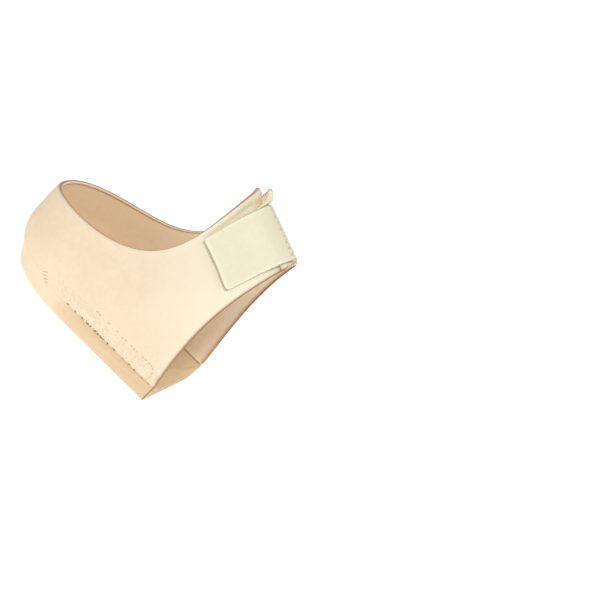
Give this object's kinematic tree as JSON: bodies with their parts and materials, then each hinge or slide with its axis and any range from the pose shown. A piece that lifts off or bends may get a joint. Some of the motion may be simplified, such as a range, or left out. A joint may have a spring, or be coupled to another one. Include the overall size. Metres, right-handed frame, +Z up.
{
  "type": "heel pad",
  "caption": "Stretch-cloth heel sleeve with a padded sole, open at the ankle and front, whose overlapping wings close over the instep under a hook-and-loop tab.",
  "frame": {"origin": "on top of the sole pad, where the heel sits, in the middle of its width", "axes": "+X towards the toes, +Z up out of the ankle opening, the tab on the -Y side"},
  "size_m": [0.1008, 0.0662, 0.0989],
  "materials": {
    "sleeve_cloth": "matt foam-backed stretch cloth, peach cream",
    "sole_cloth": "smooth padded cloth, warm tan",
    "tab_cloth": "hook-and-loop tape, pale greenish cream"
  },
  "bodies": {
    "root": {"heel_sleeve": "sleeve_cloth", "sole_pad": "sole_cloth", "hook_tab": "tab_cloth"}
  },
  "joints": []
}
